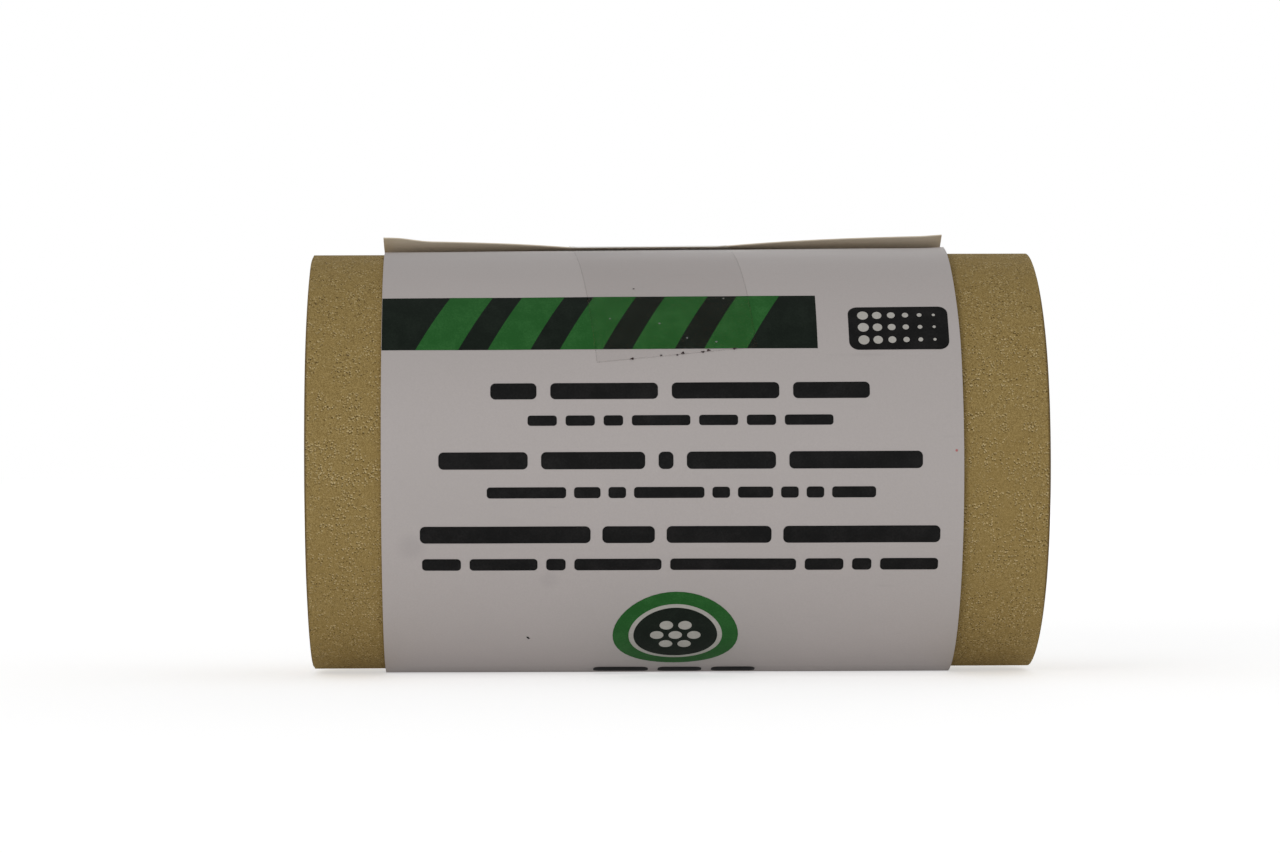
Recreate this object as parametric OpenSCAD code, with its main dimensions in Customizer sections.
// A coreless roll of abrasive paper, held shut by a printed paper band that laps
// over itself at the top, with the lap held down by one piece of clear tape.
// Millimetres. X runs along the roll, Z is up, the band's printed side faces -Y,
// and the origin is in the middle of the empty bore. Angles about the roll count
// from the front (0) over the top (90) to the back (180).

/* [Roll] */
// Width of the abrasive strip, which is the length of the roll
strip_w = 115; // [60:1:150]
// Outer radius of the wound roll
roll_r = 33.2; // [28:0.1:45]
// Half turns that the strip makes from its inner end to its outer end
half_turns = 55; // [21:1:61]
// Thickness of the strip's paper backing
backing_t = 0.2; // [0.15:0.01:0.25]
// Thickness of the resin and grain on the backing's outer side
coat_t = 0.1; // [0.08:0.01:0.15]
// Angle at which the strip's outer end lies, low on the back
strip_end_angle = 208; // [190:1:240]

/* [Band] */
// Width of the paper band along the roll
band_w = 90; // [50:1:110]
// Middle of the band, along the roll from the roll's middle
band_x = -0.6; // [-5:0.1:5]
// Thickness of the band's paper
band_t = 0.15; // [0.1:0.01:0.25]
// Gap all round between the roll and the band
band_gap = 0.3; // [0.2:0.05:1]
// Gap left under the roll, where it presses the band flat on what it lies on
rest_gap = 0.06; // [0.03:0.01:0.15]

/* [Lap] */
// Angle, behind the top, at which the lap leaves the band
lap_angle = 112; // [105:1:125]
// Length of the lap from there to its free edge
lap_len = 12.7; // [8:0.1:16]
// Gap between the lap and the band's other end under it
lap_gap = 0.08; // [0.05:0.01:0.3]
// Lift of the lap's free corners, where 1 is paper that leaves the roll straight
corner_lift = 1; // [0.3:0.05:1.4]
// Lift of the lap where the tape holds it down, on the same scale
taped_lift = 0.25; // [0:0.05:0.3]

/* [Tape] */
// Width of the clear tape
tape_w = 25; // [12:1:40]
// Middle of the tape, along the roll from the roll's middle
tape_x = -1.8; // [-5:0.1:5]
// Thickness of the clear tape
tape_t = 0.06; // [0.04:0.01:0.1]
// Length of tape that is stuck to the lap
tape_on_lap = 11; // [4:0.5:12]
// Angle at which the tape ends, on the front of the band
tape_low_angle = 30; // [10:1:60]

/* [Hidden] */
$fn = 144;

// One turn of the strip adds this much to the radius
pitch = backing_t + coat_t;
// Radius of the empty bore
bore_r = roll_r - (half_turns + 1) * pitch / 2;

// The band winds on from under its lap: down the front, up the back, and over
band_r = roll_r + band_gap;
lap_step = band_t + lap_gap;
lap_r = band_r + lap_step;
under_lap_angle = lap_angle - 2;
// The back half of the band is drawn about a second centre, half a step away
far_angle = lap_angle - 180;
far_r = band_r + lap_step / 2;
far_centre = [cos(lap_angle), sin(lap_angle), 0] * lap_step / 2;
// The flat under the band: the height of its two sides, and half its width
rest_top = -(roll_r + rest_gap);
rest_bottom = rest_top - band_t;
rest_half_w = sqrt(pow(far_r + band_t / 2, 2) - pow(far_centre.y - (rest_top + rest_bottom) / 2, 2));
degrees_per_mm = 180 / (PI * lap_r);
lap_edge_angle = lap_angle - lap_len * degrees_per_mm;

// Steps of the lap's surface along the roll and round it
LAP_COLS = 28;
LAP_ROWS = 8;
// The tape's glue line, and the angle over which it comes down off the lap's edge
glue_t = 0.02;
tape_fall = 7;
tape_clear = 0.04;
tape_top_angle = lap_edge_angle + tape_on_lap * degrees_per_mm;
TAPE_STEPS = 48;

backing_color = "#b9a27a";
coat_color = "#9a8448";
band_color = "#dcd8d4";
lap_color = "#d8ccb8";
tape_color = [0.86, 0.85, 0.80, 0.45];

// Stands a shape drawn about Z on the roll's axis, with its angle 0 at the front
module on_roll_axis() {
    rotate([90, 0, -90]) children();
}

// A sheet bent about Z: inner radius, thickness, width, first angle and sweep
module bent_sheet(r, thickness, width, start, sweep) {
    rotate_extrude(angle = sweep, start = start)
        translate([r, -width / 2])
            square([thickness, width]);
}

// A sheet wound outwards as half turns, with every second one about a centre
// half a pitch away, so that each begins where the last one ended
module wound_sheet(first_r, thickness) {
    rotate([0, 0, strip_end_angle - 180 * half_turns])
        for (k = [0 : half_turns - 1])
            translate([(k % 2) * pitch / 2, 0, 0])
                bent_sheet(first_r + k * pitch / 2, thickness, strip_w, 180 * (k % 2), 180);
}

// Paper backing, the structural sheet of the strip
module backing_paper() {
    color(backing_color)
        on_roll_axis()
            wound_sheet(bore_r, backing_t);
}

// Resin and grain, bonded to the backing's outer side along its whole length
module grain_coat() {
    color(coat_color)
        on_roll_axis()
            wound_sheet(bore_r + backing_t, coat_t);
}

// The back half of the band, with nothing left of it below the flat
module band_back_half() {
    difference() {
        translate(far_centre)
            bent_sheet(far_r, band_t, band_w, lap_angle, 180);
        translate([-roll_r, rest_bottom - band_gap, -band_w])
            cube([2 * roll_r, band_gap, 2 * band_w]);
    }
}

// The flat under the band, which keeps the roll from rolling away
module band_rest() {
    translate([far_centre.x - rest_half_w, rest_bottom, -band_w / 2])
        cube([2 * rest_half_w, band_t, band_w]);
}

// The band, from its end under the lap round to the line where the lap starts
module band_wrap() {
    color(band_color)
        translate([band_x, 0, 0])
            on_roll_axis()
                union() {
                    bent_sheet(band_r, band_t, band_w, far_angle, under_lap_angle - far_angle);
                    band_back_half();
                    band_rest();
                }
}

// How much the lap is lifted at x: evenly under the tape, then more to each corner
function lap_lift(x) =
    let (from_tape = max(0, abs(x - tape_x) - tape_w / 2),
         corner = band_x + (x > tape_x ? band_w / 2 : -band_w / 2),
         reach = max(1, abs(corner - tape_x) - tape_w / 2))
    taped_lift + (corner_lift - taped_lift) * min(1, from_tape / reach);

// Rise over the roll of a sheet with that lift, s along it from where it leaves
function rise(lift, s) = lift * s * s / (2 * lap_r);

// A point on the roll's outside: position along the roll, radius and angle
function roll_point(x, r, angle) = [x, -r * cos(angle), r * sin(angle)];

function lap_point(i, j, k) =
    let (x = band_x + band_w * (i / LAP_COLS - 0.5),
         s = lap_len * j / LAP_ROWS)
    roll_point(x, lap_r + k * band_t + rise(lap_lift(x), s), lap_angle - s * degrees_per_mm);

function lap_index(i, j, k) = (i * (LAP_ROWS + 1) + j) * 2 + k;

// Two triangles over the four corners a, b, c and d, given clockwise from outside
function two_triangles(a, b, c, d) = [[a, b, c], [a, c, d]];

// The free lap of the band, a thin sheet whose corners stand up
module band_lap() {
    points = [for (i = [0 : LAP_COLS], j = [0 : LAP_ROWS], k = [0, 1]) lap_point(i, j, k)];
    inner = [for (i = [0 : LAP_COLS - 1], j = [0 : LAP_ROWS - 1])
        each two_triangles(lap_index(i, j, 0), lap_index(i, j + 1, 0),
                           lap_index(i + 1, j + 1, 0), lap_index(i + 1, j, 0))];
    outer = [for (i = [0 : LAP_COLS - 1], j = [0 : LAP_ROWS - 1])
        each two_triangles(lap_index(i, j, 1), lap_index(i + 1, j, 1),
                           lap_index(i + 1, j + 1, 1), lap_index(i, j + 1, 1))];
    ends = [for (i = [0 : LAP_COLS - 1])
        each concat(two_triangles(lap_index(i, 0, 0), lap_index(i + 1, 0, 0),
                                  lap_index(i + 1, 0, 1), lap_index(i, 0, 1)),
                    two_triangles(lap_index(i, LAP_ROWS, 0), lap_index(i, LAP_ROWS, 1),
                                  lap_index(i + 1, LAP_ROWS, 1), lap_index(i + 1, LAP_ROWS, 0)))];
    sides = [for (j = [0 : LAP_ROWS - 1])
        each concat(two_triangles(lap_index(0, j, 0), lap_index(0, j, 1),
                                  lap_index(0, j + 1, 1), lap_index(0, j + 1, 0)),
                    two_triangles(lap_index(LAP_COLS, j, 0), lap_index(LAP_COLS, j + 1, 0),
                                  lap_index(LAP_COLS, j + 1, 1), lap_index(LAP_COLS, j, 1)))];
    color(lap_color)
        polyhedron(points, concat(inner, outer, ends, sides), convexity = 4);
}

// Radius of the tape's glued side at an angle: on the lap, then down to the band
function tape_r(angle) =
    let (s = min(lap_len, (lap_angle - angle) / degrees_per_mm),
         on_lap = lap_r + band_t + glue_t + rise(taped_lift, s),
         on_band = band_r + band_t + tape_clear,
         fallen = max(0, min(1, (lap_edge_angle - 1 - angle) / tape_fall)))
    on_lap + (on_band - on_lap) * (1 - cos(180 * fallen)) / 2;

function tape_outline_point(i, side) =
    let (angle = tape_low_angle + (tape_top_angle - tape_low_angle) * i / TAPE_STEPS,
         r = tape_r(angle) + side * tape_t)
    [r * cos(angle), r * sin(angle)];

// The clear tape, from the lap over its free edge and down the front of the band
module closure_tape() {
    outline = concat([for (i = [0 : TAPE_STEPS]) tape_outline_point(i, 0)],
                     [for (i = [TAPE_STEPS : -1 : 0]) tape_outline_point(i, 1)]);
    color(tape_color)
        translate([tape_x + tape_w / 2, 0, 0])
            on_roll_axis()
                linear_extrude(height = tape_w)
                    polygon(outline);
}

backing_paper();
grain_coat();
band_wrap();
band_lap();
closure_tape();
